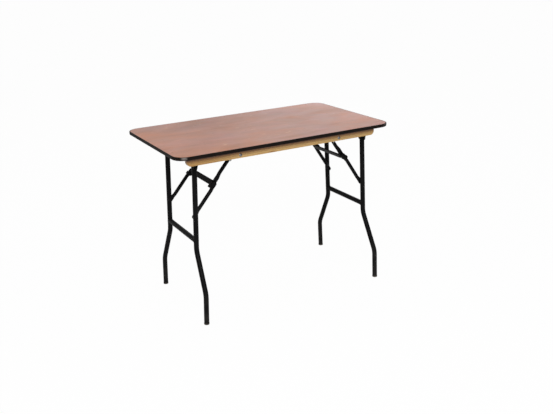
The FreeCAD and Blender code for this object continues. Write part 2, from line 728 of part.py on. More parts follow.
def make_leg(side, row):
    """A bent tube, bored across for its pivot bolt and for the stay's pin."""
    body = new_body("%s_leg_%s" % (SIDE_WORD[side], ROW_WORD[row]))
    section = new_sketch(body, "tube_section", "XY_Plane", offset="leg_top_overrun")
    for radius in ("leg_radius", "leg_bore_radius"):
        index = add_circle(section, radius, FreeCAD.Vector(0, row * size("leg_gauge"), 0))
        centre_on_axis(section, index, "Y", "leg_gauge", row)
    path = bent_path(body, row)
    tube = body.newObject("PartDesign::AdditivePipe", "tube")
    tube.Profile = section
    tube.Spine = path
    doc.recompute()
    body.Tip = tube
    bores = new_sketch(body, "pivot_bore", "XZ_Plane")
    add_circle(bores, "pivot_bore")
    pocket(body, bores)
    pins = new_sketch(body, "stay_pin_bore", "XZ_Plane")
    index = add_circle(pins, "pin_bore", FreeCAD.Vector(0, -size("stay_leg_reach"), 0))
    centre_on_axis(pins, index, "Y", "stay_leg_reach", -1)
    pocket(body, pins)
    finish(body, frame_place(side))


def make_crossbar(side):
    """The tube between the legs, its ends coped round them."""
    body = new_body("%s_leg_crossbar" % SIDE_WORD[side])
    section = new_sketch(body, "bar_section", "XZ_Plane", offset="leg_gauge")
    for radius in ("crossbar_radius", "crossbar_bore_radius"):
        index = add_circle(section, radius, FreeCAD.Vector(0, -size("crossbar_drop"), 0))
        centre_on_axis(section, index, "Y", "crossbar_drop", -1)
    pad(body, section, "crossbar_length", reverse=True)
    copes = new_sketch(body, "copes", "XY_Plane")
    for row in (NEAR, FAR):
        index = add_circle(copes, "cope_radius", FreeCAD.Vector(0, row * size("leg_gauge"), 0))
        centre_on_axis(copes, index, "Y", "leg_gauge", row)
    pocket(body, copes)
    finish(body, frame_place(side))


def make_foot(side, row):
    """A rubber plug: a stem up the tube, and a rim under its end cut level with the floor."""
    label = "%s_foot_%s" % (SIDE_WORD[side], ROW_WORD[row])
    rim = size("foot_radius")
    height = size("foot_rim_height")
    stem = size("foot_stem_radius")
    sunk = rim * math.tan(math.radians(size("frame_lean")))
    plug = Part.makeCylinder(rim, height + sunk, FreeCAD.Vector(0, 0, -sunk))
    low = [e for e in plug.Edges if e.BoundBox.ZMax < 0]
    plug = plug.makeFillet(size("foot_round"), low)
    plug = plug.fuse(Part.makeCylinder(stem, size("foot_stem"), FreeCAD.Vector(0, 0, height)))
    standing = FreeCAD.Vector(0, row * size("foot_gauge"), -size("leg_length"))
    plug.Placement = frame_place(side).multiply(FreeCAD.Placement(standing, FreeCAD.Rotation()))
    reach = size("foot_gauge") + rim
    floor = Part.makeBox(size("table_length"), 2 * reach, height,
                         FreeCAD.Vector(PIVOT_X[side] - size("table_length") / 2, -reach, -height))
    feature = doc.addObject("Part::Feature", label)
    feature.Label = label
    feature.Shape = plug.cut(floor).removeSplitter()
    finish(feature)


# Stays

def pressed_end(body, name, flat_level, round_level, flat_side):
    """The tube's end pressed from its circle into a flat oval that lies to one side."""
    round_end = new_sketch(body, name + "_round", "YZ_Plane", offset=round_level)
    add_circle(round_end, "stay_radius")
    oval = new_sketch(body, name + "_oval", "YZ_Plane", offset=flat_level)
    centre = FreeCAD.Vector(flat_side * size("flat_offset"), 0, 0)
    crown = centre + FreeCAD.Vector(0, size("flat_half_width"), 0)
    cheek = centre + FreeCAD.Vector(size("flat_half_thickness"), 0, 0)
    index = oval.addGeometry(Part.Ellipse(crown, cheek, centre), False)
    oval.exposeInternalGeometry(index)
    # The oval's long axis is kept as the next line, and its short axis as the one after that
    oval.addConstraint(Sketcher.Constraint("Vertical", index + 1))
    oval.addConstraint(Sketcher.Constraint("PointOnObject", index, 3, -1))
    dimension(oval, "Distance", (index + 1, 1, index + 1, 2), "flat_width")
    dimension(oval, "Distance", (index + 2, 1, index + 2, 2), "eye_thickness")
    apart(oval, "X", (-1, 1), (index, 3), "flat_offset")
    blend = body.newObject("PartDesign::AdditiveLoft", name + "_blend")
    blend.Profile = round_end
    blend.Sections = [oval]
    doc.recompute()


def eye_plate(body, name, pin, inner, flat_side, end=None):
    """The flat plate of a pressed end: a pin hole, and a round end at the pin or past a tail.

    The places are named sizes along the stay; no name for the pin means the stay's own start."""
    offset, sign = ("stay_radius", "-") if flat_side > 0 else ("flat_inner_face", "")
    plate = new_sketch(body, name + "_plate", "XZ_Plane", offset=offset, sign=sign)
    r = size("eye_radius")
    pin_x = size(pin) if pin else 0.0
    inner_x = size(inner)
    end_x = size(end) if end else pin_x
    outward = 1 if inner_x < pin_x else -1
    low = FreeCAD.Vector(inner_x, -r, 0)
    high = FreeCAD.Vector(inner_x, r, 0)
    end_low = FreeCAD.Vector(end_x, -r, 0)
    end_high = FreeCAD.Vector(end_x, r, 0)
    tip = FreeCAD.Vector(end_x + outward * r, 0, 0)
    plate.addGeometry(Part.LineSegment(high, low), False)
    plate.addGeometry(Part.LineSegment(low, end_low), False)
    plate.addGeometry(Part.Arc(end_low, tip, end_high), False)
    plate.addGeometry(Part.LineSegment(end_high, high), False)
    for i, kind in enumerate(("Coincident", "Tangent", "Tangent", "Coincident")):
        meet(plate, kind, i, (i + 1) % 4)
    for kind, line in (("Vertical", 0), ("Horizontal", 1), ("Horizontal", 3)):
        plate.addConstraint(Sketcher.Constraint(kind, line))
    dimension(plate, "Radius", (2,), "eye_radius")
    if end or pin:
        centre_on_axis(plate, 2, "X", end or pin, 1)
    else:
        plate.addConstraint(Sketcher.Constraint("Coincident", 2, 3, -1, 1))
    apart(plate, "X", (-1, 1), (0, 1), inner)
    pad(body, plate, "eye_thickness")
    hole = new_sketch(body, name + "_hole", "XZ_Plane")
    index = add_circle(hole, "pin_bore", FreeCAD.Vector(pin_x, 0, 0))
    if pin:
        centre_on_axis(hole, index, "X", pin, 1)
    pocket(body, hole)


def make_lower_stay(side, row):
    """A tube from the leg to the knuckle, its two ends pressed flat on opposite sides."""
    body = new_body("%s_lower_stay_%s" % (SIDE_WORD[side], ROW_WORD[row]))
    knuckle = side_name(side, "lower_stay_length")
    flat_start = side_name(side, "lower_flat_start")
    tube = new_sketch(body, "tube", "YZ_Plane", offset="lower_press_end")
    add_circle(tube, "stay_radius")
    pad(body, tube, side_name(side, "lower_tube_length"))
    pressed_end(body, "leg_end", "lower_flat_length", "lower_press_end", row)
    pressed_end(body, "knuckle_end", flat_start, side_name(side, "lower_press_start"), -row)
    eye_plate(body, "leg_eye", None, "lower_flat_length", row)
    eye_plate(body, "knuckle_eye", knuckle, flat_start, -row)
    angle = side_size(side, "stay_angle") if side == LEFT else 180 - side_size(side, "stay_angle")
    x = PIVOT_X[side] - side * size("stay_foot_x")
    z = size("pivot_height") + size("stay_foot_z")
    finish(body, turned(angle, x, row * size("lower_stay_gauge"), z))


def make_upper_stay(side, row):
    """A tube from the bracket to the knuckle, its lower end pressed flat and drawn out to a tail."""
    body = new_body("%s_upper_stay_%s" % (SIDE_WORD[side], ROW_WORD[row]))
    knuckle = side_name(side, "upper_stay_length")
    flat_start = side_name(side, "upper_flat_start")
    tube = new_sketch(body, "tube", "YZ_Plane", offset="stay_end_overrun", sign="-")
    add_circle(tube, "stay_radius")
    pad(body, tube, side_name(side, "upper_tube_length"))
    pressed_end(body, "knuckle_end", flat_start, side_name(side, "upper_press_start"), row)
    eye_plate(body, "knuckle_eye", knuckle, flat_start, row, side_name(side, "stop_tail_end"))
    hole = new_sketch(body, "bracket_hole", "XZ_Plane")
    add_circle(hole, "pin_bore")
    pocket(body, hole)
    finish(body, upper_stay_place(side, row * size("upper_stay_gauge")))


def upper_stay_place(side, y):
    """The place of the upper stays: at the bracket's pin, X towards the knuckle."""
    angle = side_size(side, "stay_angle") + 180 if side == LEFT else -side_size(side, "stay_angle")
    return turned(angle, stay_pivot_x(side), y, size("pivot_height"))


def make_link_bar(side):
    """The strip between the knuckles, its ends bent into tabs that share the knuckle rivets."""
    body = new_body("%s_link_bar" % SIDE_WORD[side])
    profile = new_sketch(body, "bent_strip", "YZ_Plane", offset=side_name(side, "link_bar_start"))
    # The strip lies on the side of the stays that faces away from the leg's pivot
    away = -side
    thick = size("link_bar_thickness")
    half = size("link_bar_length") / 2
    tab_end = -away * size("eye_radius")
    outside = away * size("link_bar_outside")
    inside = outside - away * thick
    right_half = ((half, outside), (half, tab_end), (half - thick, tab_end), (half - thick, inside))
    left_half = tuple((-y, z) for y, z in reversed(right_half))
    corners = [FreeCAD.Vector(y, z, 0) for y, z in right_half + left_half]
    for start, end in zip(corners, corners[1:] + corners[:1]):
        profile.addGeometry(Part.LineSegment(start, end), False)
    for i in range(8):
        profile.addConstraint(Sketcher.Constraint("Coincident", i, 2, (i + 1) % 8, 1))
    for i in (0, 2, 4, 6):
        profile.addConstraint(Sketcher.Constraint("Vertical", i))
    for i in (1, 5):
        profile.addConstraint(Sketcher.Constraint("Horizontal", i))
        apart(profile, "Y", (-1, 1), (i, 1), "eye_radius")
    for i in (3, 7):
        profile.addConstraint(Sketcher.Constraint("Symmetric", i, 1, i, 2, -2))
    apart(profile, "X", (7, 1), (7, 2), "link_bar_length")
    apart(profile, "X", (1, 1), (1, 2), "link_bar_thickness")
    apart(profile, "Y", (3, 1), (7, 2), "link_bar_thickness")
    apart(profile, "Y", (-1, 1), (7, 1), "link_bar_outside")
    strip = pad(body, profile, "link_bar_width")
    bends = fillet(body, strip, "link_bar_bend",
                   lambda e: runs_along(e, X_AXIS) and abs(e.CenterOfMass.z - outside) < SAME)
    rounded = fillet(body, bends, "link_tab_round",
                     lambda e: runs_along(e, Y_AXIS) and abs(e.CenterOfMass.z - tab_end) < SAME)
    body.Tip = rounded
    holes = new_sketch(body, "rivet_holes", "XZ_Plane")
    length = side_name(side, "upper_stay_length")
    index = add_circle(holes, "pin_bore", FreeCAD.Vector(size(length), 0, 0))
    centre_on_axis(holes, index, "X", length, 1)
    pocket(body, holes)
    finish(body, upper_stay_place(side, 0))


def make_stop(side, row):
    """The stop on the upper stay's tail: a lip over the edge of the lower stay, below the knuckle."""
    label = "%s_knuckle_stop_%s" % (SIDE_WORD[side], ROW_WORD[row])
    length = size("stop_length")
    end = side_size(side, "upper_stay_length") + size("stop_tail") + size("eye_radius")
    inner = size("upper_stay_gauge") + size("flat_offset") - size("flat_half_thickness")
    level = size("stop_level")
    crest = level + size("stop_height")
    width = size("eye_thickness") + size("knuckle_gap") / 2 + size("stop_overhang")
    lip = Part.makeBox(length, width, size("stop_height"), FreeCAD.Vector(end - length, inner, level))
    root = Part.makeBox(length - size("eye_radius") / 2, size("eye_thickness"), crest - size("eye_radius"),
                        FreeCAD.Vector(end - length, inner, size("eye_radius")))
    lip = lip.fuse(root).removeSplitter()
    ends = [e for e in lip.Edges if runs_along(e, Y_AXIS) and e.BoundBox.ZMin > crest - size("face_gap")]
    lip = lip.makeFillet(size("stop_round"), ends)
    # The side that faces the leg's pivot is local +Z on the right and -Z on the left
    if side == LEFT:
        lip = lip.mirror(ZERO, Z_AXIS)
    if row == NEAR:
        lip = lip.mirror(ZERO, Y_AXIS)
    feature = doc.addObject("Part::Feature", label)
    feature.Label = label
    feature.Shape = lip
    finish(feature, upper_stay_place(side, 0))


# Pins, bolts and screws

def domed_head(radius, depth):
    """A rivet's round head that rises from the origin along +Z."""
    ball = (radius * radius + depth * depth) / (2 * depth)
    cap = Part.makeSphere(ball, FreeCAD.Vector(0, 0, depth - ball))
    keep = Part.makeCylinder(radius, depth)
    return cap.common(keep)


def hexagon(across, depth, base=ZERO):
    """A hexagonal prism along +Z."""
    reach = across / math.sqrt(3)
    corners = [base + FreeCAD.Vector(reach * math.cos(math.radians(60 * i)),
                                     reach * math.sin(math.radians(60 * i)), 0) for i in range(7)]
    return Part.Face(Part.makePolygon(corners)).extrude(FreeCAD.Vector(0, 0, depth))


def across_table(shape, x, y, z, row):
    """Turn a shape made along +Z to point outwards across the table, and move it there."""
    shape.rotate(ZERO, X_AXIS, -90 * row)
    shape.translate(FreeCAD.Vector(x, row * y, z))
    return shape


def make_pivot_bolts():
    bolts = []
    nuts = []
    grip = 2 * (size("leg_ear_face") + size("bracket_plate"))
    for side in (LEFT, RIGHT):
        for row in (NEAR, FAR):
            place = (PIVOT_X[side], size("leg_gauge"), size("pivot_height"), row)
            bottom = FreeCAD.Vector(0, 0, -grip / 2 - size("nut_depth") - size("bolt_end"))
            shank = Part.makeCylinder(size("pivot_bolt_radius"), grip / 2 - bottom.z, bottom)
            outer = FreeCAD.Vector(0, 0, grip / 2)
            head = hexagon(size("bolt_head_across"), size("bolt_head_depth"), outer)
            bolts.append(across_table(shank.fuse(head), *place))
            nut = hexagon(size("bolt_head_across"), size("nut_depth"),
                          FreeCAD.Vector(0, 0, -grip / 2 - size("nut_depth")))
            bore = Part.makeCylinder(size("pivot_bore"), grip, FreeCAD.Vector(0, 0, -grip))
            nuts.append(across_table(nut.cut(bore), *place))
    solids("leg_pivot_bolts", bolts)
    solids("leg_pivot_nuts", nuts)


def rivet(radius, half_grip_in, half_grip_out, head, inner_depth, outer_depth):
    """A rivet along +Z with a head at each end."""
    shank = Part.makeCylinder(radius, half_grip_in + half_grip_out, FreeCAD.Vector(0, 0, -half_grip_in))
    outer = domed_head(head, outer_depth)
    outer.translate(FreeCAD.Vector(0, 0, half_grip_out))
    inner = domed_head(head, inner_depth)
    inner.rotate(ZERO, X_AXIS, 180)
    inner.translate(FreeCAD.Vector(0, 0, -half_grip_in))
    return shank.fuse(outer).fuse(inner)


def make_stay_rivets():
    grip = size("stay_ear_face") + size("bracket_plate")
    rivets = []
    for side in (LEFT, RIGHT):
        for row in (NEAR, FAR):
            pin = rivet(size("stay_pin_radius"), grip, grip, size("rivet_head_radius"),
                        size("rivet_head_depth"), size("rivet_low_head_depth"))
            place = (stay_pivot_x(side), size("upper_stay_gauge"), size("pivot_height"), row)
            rivets.append(across_table(pin, *place))
    solids("stay_bracket_rivets", rivets)


def make_leg_pins(side):
    """The pins that carry the lower stays on the legs, with a washer between."""
    pins = []
    inner = size("leg_gauge") - size("lower_stay_gauge") - size("flat_offset") + size("flat_half_thickness")
    for row in (NEAR, FAR):
        pin = rivet(size("stay_pin_radius"), inner, size("leg_radius"), size("rivet_head_radius"),
                    size("rivet_low_head_depth"), size("rivet_head_depth"))
        x = PIVOT_X[side] - side * size("stay_foot_x")
        z = size("pivot_height") + size("stay_foot_z")
        pins.append(across_table(pin, x, size("leg_gauge"), z, row))
    solids("%s_stay_pins" % SIDE_WORD[side], pins)


def knuckle_place(side):
    angle = math.radians(side_size(side, "stay_angle"))
    along = side_size(side, "lower_stay_length")
    x = size("stay_foot_x") + along * math.cos(angle)
    return PIVOT_X[side] - side * x, size("pivot_height") + size("stay_foot_z") + along * math.sin(angle)


def make_knuckle_rivets(side):
    """Each knuckle's rivet in two halves, one on each stay, parted by a small gap."""
    x, z = knuckle_place(side)
    inner_face = size("link_bar_length") / 2 - size("link_bar_thickness")
    outer_face = size("upper_stay_gauge") + size("stay_radius")
    lower_inner = size("lower_stay_gauge") - size("stay_radius")
    uppers = []
    lowers = []
    for row in (NEAR, FAR):
        head = domed_head(size("rivet_head_radius"), size("rivet_low_head_depth"))
        head.rotate(ZERO, X_AXIS, 180)
        thick = outer_face - inner_face
        shank = Part.makeCylinder(size("stay_pin_radius"), thick)
        bush = Part.makeCylinder(size("washer_radius"), size("knuckle_gap") - size("face_gap"),
                                 FreeCAD.Vector(0, 0, thick))
        uppers.append(across_table(shank.fuse(head).fuse(bush), x, inner_face, z, row))
        stub = Part.makeCylinder(size("stay_pin_radius"), size("eye_thickness"))
        cap = domed_head(size("rivet_head_radius"), size("rivet_low_head_depth"))
        cap.translate(FreeCAD.Vector(0, 0, size("eye_thickness")))
        lowers.append(across_table(stub.fuse(cap), x, lower_inner, z, row))
    solids("%s_knuckle_rivets" % SIDE_WORD[side], uppers)
    solids("%s_knuckle_caps" % SIDE_WORD[side], lowers)


def make_screws():
    """Round-headed screws up into the board, and long screws sunk in the rails."""
    shorts = []
    plate = size("bracket_plate")
    under = size("board_underside")
    for x, y in screw_places() + cleat_screw_places():
        depth = size("screw_head_depth")
        head = domed_head(size("screw_head_radius"), depth)
        head.rotate(ZERO, X_AXIS, 180)
        shank = Part.makeCylinder(size("screw_radius"), plate + size("screw_grip") - size("screw_fit"))
        screw = shank.fuse(head)
        screw.translate(FreeCAD.Vector(x, y, under - plate))
        shorts.append(screw)
    solids("bracket_screws", shorts)
    longs = []
    depth = size("counterbore_depth")
    for x, y in rail_screw_places():
        bottom = under - size("rail_depth") + depth
        head = Part.makeCone(size("screw_head_radius"), size("screw_radius"), size("screw_head_depth"))
        head.translate(FreeCAD.Vector(0, 0, -size("screw_head_depth")))
        length = size("rail_depth") - depth + size("screw_grip") - size("screw_fit")
        shank = Part.makeCylinder(size("screw_radius"), length)
        screw = shank.fuse(head)
        screw.translate(FreeCAD.Vector(x, y, bottom))
        longs.append(screw)
    solids("rail_screws", longs)


def make_rail_bolts():
    bolts = []
    nuts = []
    grip = size("rail_thickness") + size("cleat_thickness")
    reach = grip + size("rail_nut_depth") + size("bolt_end")
    z = size("board_underside") - size("rail_bolt_drop")
    for side in (LEFT, RIGHT):
        for row in (NEAR, FAR):
            place = (BOLT_X[side], size("rail_outer"), z, row)
            shank = Part.makeCylinder(size("rail_bolt_radius"), reach, FreeCAD.Vector(0, 0, -reach))
            head = domed_head(size("rail_bolt_head_radius"), size("rail_bolt_head_depth"))
            bolts.append(across_table(shank.fuse(head), *place))
            nut = hexagon(size("rail_nut_across"), size("rail_nut_depth"),
                          FreeCAD.Vector(0, 0, -grip - size("rail_nut_depth")))
            bore = Part.makeCylinder(size("rail_bolt_bore"), reach, FreeCAD.Vector(0, 0, -reach))
            nuts.append(across_table(nut.cut(bore), *place))
    solids("rail_bolts", bolts)
    solids("rail_nuts", nuts)


def make_frame(side):
    for row in (NEAR, FAR):
        make_leg(side, row)
        make_foot(side, row)
        make_lower_stay(side, row)
        make_upper_stay(side, row)
        make_stop(side, row)
    make_crossbar(side)
    make_link_bar(side)
    make_leg_pins(side)
    make_knuckle_rivets(side)


def make_brackets(side):
    z = size("board_underside") - size("bracket_plate")
    for row in (NEAR, FAR):
        leg = FreeCAD.Vector(PIVOT_X[side], row * size("leg_gauge"), z)
        make_bracket("%s_leg_bracket_%s" % (SIDE_WORD[side], ROW_WORD[row]), "leg", "pivot_bore", leg)
        stay = FreeCAD.Vector(stay_pivot_x(side), row * size("upper_stay_gauge"), z)
        make_bracket("%s_stay_bracket_%s" % (SIDE_WORD[side], ROW_WORD[row]), "stay", "pin_bore", stay)


make_board()
make_edging()
for row in (NEAR, FAR):
    make_rail(row)
for side in (LEFT, RIGHT):
    for row in (NEAR, FAR):
        make_cleat(side, row)
    make_brackets(side)
    make_frame(side)
make_pivot_bolts()
make_stay_rivets()
make_screws()
make_rail_bolts()
doc.recompute()

for obj in doc.Objects:
    if "Invalid" in obj.State or "Error" in obj.State:
        raise RuntimeError("%s failed: %s" % (obj.Label, obj.State))
for part in SUBPARTS:
    if part.Shape.isNull() or not part.Shape.isValid():
        raise RuntimeError("%s has no valid shape" % part.Label)
for part in SUBPARTS:
    part.Shape.exportStep(os.path.join("parts", part.Label + ".step"))
print("%d sub-parts, %d solids" % (len(SUBPARTS), sum(len(p.Shape.Solids) for p in SUBPARTS)))
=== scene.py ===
import json
import math

import bmesh
import bpy
from mathutils import Matrix, Vector


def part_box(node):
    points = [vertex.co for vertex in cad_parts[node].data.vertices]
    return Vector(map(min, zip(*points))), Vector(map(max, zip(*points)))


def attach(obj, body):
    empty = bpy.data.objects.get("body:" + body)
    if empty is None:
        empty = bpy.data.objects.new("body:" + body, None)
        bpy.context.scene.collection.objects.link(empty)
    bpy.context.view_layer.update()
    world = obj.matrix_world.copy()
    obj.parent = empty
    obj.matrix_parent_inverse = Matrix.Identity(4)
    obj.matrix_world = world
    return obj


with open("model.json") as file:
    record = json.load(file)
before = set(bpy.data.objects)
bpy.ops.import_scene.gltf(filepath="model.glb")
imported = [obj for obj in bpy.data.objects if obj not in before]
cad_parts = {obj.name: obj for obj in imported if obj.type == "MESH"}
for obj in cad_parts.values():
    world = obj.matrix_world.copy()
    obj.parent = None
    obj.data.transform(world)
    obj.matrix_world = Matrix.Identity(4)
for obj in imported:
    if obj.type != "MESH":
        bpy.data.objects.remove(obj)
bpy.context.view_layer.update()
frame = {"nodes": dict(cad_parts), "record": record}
nodes = frame["nodes"]

SIDES = ("left", "right")
ROWS = ("near", "far")

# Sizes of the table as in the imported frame, in metres, and the legs' lean in radians
HALF_LENGTH = 0.510
HALF_WIDTH = 0.295
CORNER_RADIUS = 0.054
EDGING_BOTTOM = 0.746
LEG_RADIUS = 0.011
HALF_LEG_GAUGE = 0.147
LEG_LEAN = math.radians(2.15)
LEG_PIVOT_X = {"left": -0.378, "right": 0.461}
LEG_PIVOT_HEIGHT = 0.668
LEG_TOP_OVERRUN = 0.013

# Places along the table, and heights, between which a finish changes, in metres; the first four
# bound painted light: painted sheen at the board's right end, painted shade at the rail's left
# end, painted shadow under the overhang and a painted highlight on the edging's corners
SHEEN_RIGHT_END = (0.20, HALF_LENGTH)
SHADE_AND_VARNISH_LEFT_END = (-0.22, -0.36)
OVERHANG_SHADOW_HEIGHTS = (0.722, EDGING_BOTTOM)
CORNER_HIGHLIGHT_HEIGHTS = (0.748, 0.755)
DUSTY_LEG_HEIGHTS = (0.02, 0.20)
DUSTY_FOOT_HEIGHTS = (0.0, 0.03)

# Slanted changes go from near left to far right, by X and Y added up in metres; in the painted
# sheen's sum Y has this share, and in the painted corner highlight's sum the whole
SHEEN_SHARE_OF_Y = 0.9
SHEEN_SLANT = (-0.65, 0.55)
BRIGHTEST_TO_FAINTEST_HIGHLIGHT = (-0.76, 0.10)

# The painted highlights on the edging's corners face this far round from straight out of the
# long sides, and reach this deep into the corners
HIGHLIGHT_FACING = math.radians(23)
HIGHLIGHT_DEPTH = 0.0024

# Eased edges, in metres, and the angle from which an edge counts as hard
WELD_DISTANCE = 0.00001
HARD_EDGE = math.radians(50)
RAIL_EDGE_ROUND = 0.0012
STRIP_EDGE_ROUND = 0.0006

# Small pieces that are added here: sizes in metres, counts, and a ripple as a share of
# the bead's radius
SAME_POINT = 0.000001
BEAD_RADIUS = 0.0017
BEAD_SEGMENTS = 10
BEAD_STEPS = 96
BEAD_RIPPLES = 26
BEAD_RIPPLE = 0.16
PLUG_STEPS = 32
PLUG_RADII_AND_HEIGHTS = ((0.0, 0.0026), (0.0045, 0.0023), (0.0078, 0.0014),
                          (0.0100, 0.0), (0.0100, -0.0003))

# The floor reaches this far each way, in metres, and this share of what the camera sees
# of it is plain white
FLOOR_REACH = 30.0
FLOOR_PLAIN_SHARE = 0.97

NEUTRAL = (1.0, 1.0, 1.0)


# Node tools

class Shader:
    """A material under construction: its node tree, and short ways to add to it."""

    def __init__(self, name):
        self.material = bpy.data.materials.new(name)
        self.material.use_nodes = True
        self.tree = self.material.node_tree
        self.surface = self.tree.nodes["Principled BSDF"]
        self.place = self.add("ShaderNodeTexCoord").outputs["Object"]

    def add(self, kind, **settings):
        made = self.tree.nodes.new(kind)
        for key, value in settings.items():
            setattr(made, key, value)
        return made

    def join(self, source, target):
        self.tree.links.new(source, target)

    def fill(self, node, **values):
        """Plain values for a node's inputs, whose names have _ in place of a space."""
        for key, value in values.items():
            node.inputs[key.replace("_", " ")].default_value = value

    def feed(self, target, value):
        """A socket joined to an input, or a plain colour or number set on it."""
        if isinstance(value, bpy.types.NodeSocket):
            self.join(value, target)
        else:
            target.default_value = (*value, 1) if isinstance(value, tuple) else value

    def coordinate(self, axis):
        """One coordinate of the surface point, in metres."""
        made = self.add("ShaderNodeSeparateXYZ")
        self.join(self.place, made.inputs["Vector"])
        return made.outputs[axis]

    def stretched(self, scale, turn=(0, 0, 0)):
        """Object coordinates multiplied by a scale on each axis, in cycles per metre."""
        mapping = self.add("ShaderNodeMapping")
        self.fill(mapping, Scale=scale, Rotation=turn)
        self.join(self.place, mapping.inputs["Vector"])
        return mapping.outputs["Vector"]

    def noise(self, scale=1.0, detail=3.0, roughness=0.5, distortion=0.0, on=None):
        """Noise from 0 to 1, on Object coordinates or on the stretched ones given."""
        made = self.add("ShaderNodeTexNoise")
        self.fill(made, Scale=scale, Detail=detail, Roughness=roughness, Distortion=distortion)
        self.join(on if on else self.place, made.inputs["Vector"])
        return made.outputs["Fac"]

    def ramp(self, factor, *stops):
        """A colour ramp from pairs of place and colour, or of place and grey level."""
        made = self.add("ShaderNodeValToRGB")
        bar = made.color_ramp.elements
        while len(bar) < len(stops):
            bar.new(0.5)
        for element, (at, value) in zip(bar, stops):
            colour = value if isinstance(value, tuple) else (value, value, value)
            element.position = at
            element.color = (*colour, 1)
        self.join(factor, made.inputs["Fac"])
        return made.outputs["Color"]

    def spread(self, factor, low, high, new_low=0.0, new_high=1.0):
        """A value's range from low to high, spread over a new range and held at its ends."""
        made = self.add("ShaderNodeMapRange")
        self.fill(made, From_Min=low, From_Max=high, To_Min=new_low, To_Max=new_high)
        self.join(factor, made.inputs["Value"])
        return made.outputs["Result"]

    def mix(self, factor, first, second, blend="MIX"):
        """Two colours mixed; each may be a socket or a plain colour, and so may the factor."""
        made = self.add("ShaderNodeMix", data_type="RGBA", blend_type=blend)
        inputs = {socket.identifier: socket for socket in made.inputs}
        self.feed(inputs["Factor_Float"], factor)
        self.feed(inputs["A_Color"], first)
        self.feed(inputs["B_Color"], second)
        return next(s for s in made.outputs if s.identifier == "Result_Color")

    def tinted(self, colour, tint, strength=1.0):
        """A colour multiplied by a tint, as far as the strength says."""
        return self.mix(strength, colour, tint, "MULTIPLY")

    def maths(self, operation, first, second=0.0):
        made = self.add("ShaderNodeMath", operation=operation)
        self.feed(made.inputs[0], first)
        self.feed(made.inputs[1], second)
        return made.outputs["Value"]

    def times(self, first, second):
        return self.maths("MULTIPLY", first, second)

    def plus(self, first, second):
        return self.maths("ADD", first, second)

    def bump(self, height, strength, distance, below=None):
        """A bumped normal; the distance is in metres, and below is a normal to add it to."""
        made = self.add("ShaderNodeBump")
        self.fill(made, Strength=strength, Distance=distance)
        self.join(height, made.inputs["Height"])
        if below:
            self.join(below, made.inputs["Normal"])
        return made.outputs["Normal"]

    def finish(self, colour, roughness, normal, **plain):
        """The finished material; the plain values are the same all over."""
        self.join(colour, self.surface.inputs["Base Color"])
        self.join(roughness, self.surface.inputs["Roughness"])
        self.join(normal, self.surface.inputs["Normal"])
        self.fill(self.surface, **plain)
        return self.material


# Finishes

def varnished_plywood():
    """Rotary-cut veneer under satin varnish: long figure, mottle, fine pores and specks, and a
    painted sheen towards the far right.
    """
    s = Shader("varnished_plywood")
    figure = s.noise(detail=5.0, roughness=0.6, distortion=0.8, on=s.stretched((3.4, 8.0, 8.0)))
    streaks = s.noise(detail=6.0, roughness=0.65, distortion=0.3,
                      on=s.stretched((4.0, 70.0, 70.0)))
    fibres = s.noise(detail=4.0, roughness=0.7, on=s.stretched((25.0, 900.0, 900.0)))
    clouds = s.noise(4.0, detail=2.0)
    mottle = s.noise(detail=3.0, roughness=0.6, distortion=0.5,
                     on=s.stretched((11.0, 20.0, 20.0)))
    colour = s.ramp(figure, (0.30, (0.37, 0.175, 0.118)), (0.50, (0.43, 0.212, 0.156)),
                    (0.72, (0.49, 0.252, 0.198)))
    dark = s.ramp(streaks, (0.32, 0.78), (0.50, 1.0), (0.70, 1.05))
    colour = s.tinted(colour, dark, 0.20)
    pores = s.ramp(fibres, (0.34, 0.72), (0.47, 1.0))
    colour = s.tinted(colour, pores, 0.45)
    # The stain took unevenly: orange in some patches, a rosy grey in others
    cast = s.ramp(clouds, (0.36, (1.05, 0.93, 0.80)), (0.50, NEUTRAL), (0.64, (0.98, 1.0, 1.12)))
    colour = s.tinted(colour, cast, 0.9)
    # From the near left corner to the far right one the board turns from orange to rose: a
    # painted sheen, paler and rosier where more light is reflected
    slant = s.plus(s.coordinate("X"), s.times(s.coordinate("Y"), SHEEN_SHARE_OF_Y))
    painted_sheen = s.ramp(s.spread(slant, *SHEEN_SLANT), (0.05, (1.06, 0.97, 0.84)),
                        (0.40, (0.98, 0.99, 1.01)), (1.0, (1.06, 1.07, 1.13)))
    colour = s.tinted(colour, painted_sheen)
    # Towards the right end the board is painted paler and bluer still: more painted sheen
    right_end_sheen = s.ramp(s.spread(s.coordinate("X"), *SHEEN_RIGHT_END), (0.0, NEUTRAL),
                      (0.55, (1.03, 1.06, 1.09)), (1.0, (1.13, 1.20, 1.30)))
    colour = s.tinted(colour, right_end_sheen)
    patchy = s.ramp(mottle, (0.34, (0.89, 0.87, 0.85)), (0.50, (0.99, 0.99, 0.99)),
                    (0.68, (1.09, 1.11, 1.12)))
    colour = s.tinted(colour, patchy, 0.9)
    specks = s.noise(95.0, detail=1.0, on=s.stretched((0.55, 1.0, 1.0)))
    pits = s.ramp(specks, (0.235, 0.50), (0.265, 1.0))
    colour = s.tinted(colour, pits, 0.8)
    flecks = s.noise(60.0, detail=1.0, on=s.stretched((0.5, 1.0, 1.0), turn=(0.0, 0.0, 0.4)))
    pale = s.ramp(flecks, (0.745, 0.0), (0.775, 1.0))
    colour = s.mix(s.times(pale, 0.45), colour, (0.68, 0.44, 0.26))
    roughness = s.spread(mottle, 0.3, 0.7, 0.32, 0.46)
    normal = s.bump(fibres, 0.25, 0.0002)
    normal = s.bump(figure, 0.15, 0.002, normal)
    return s.finish(colour, roughness, normal, Specular_IOR_Level=0.24)


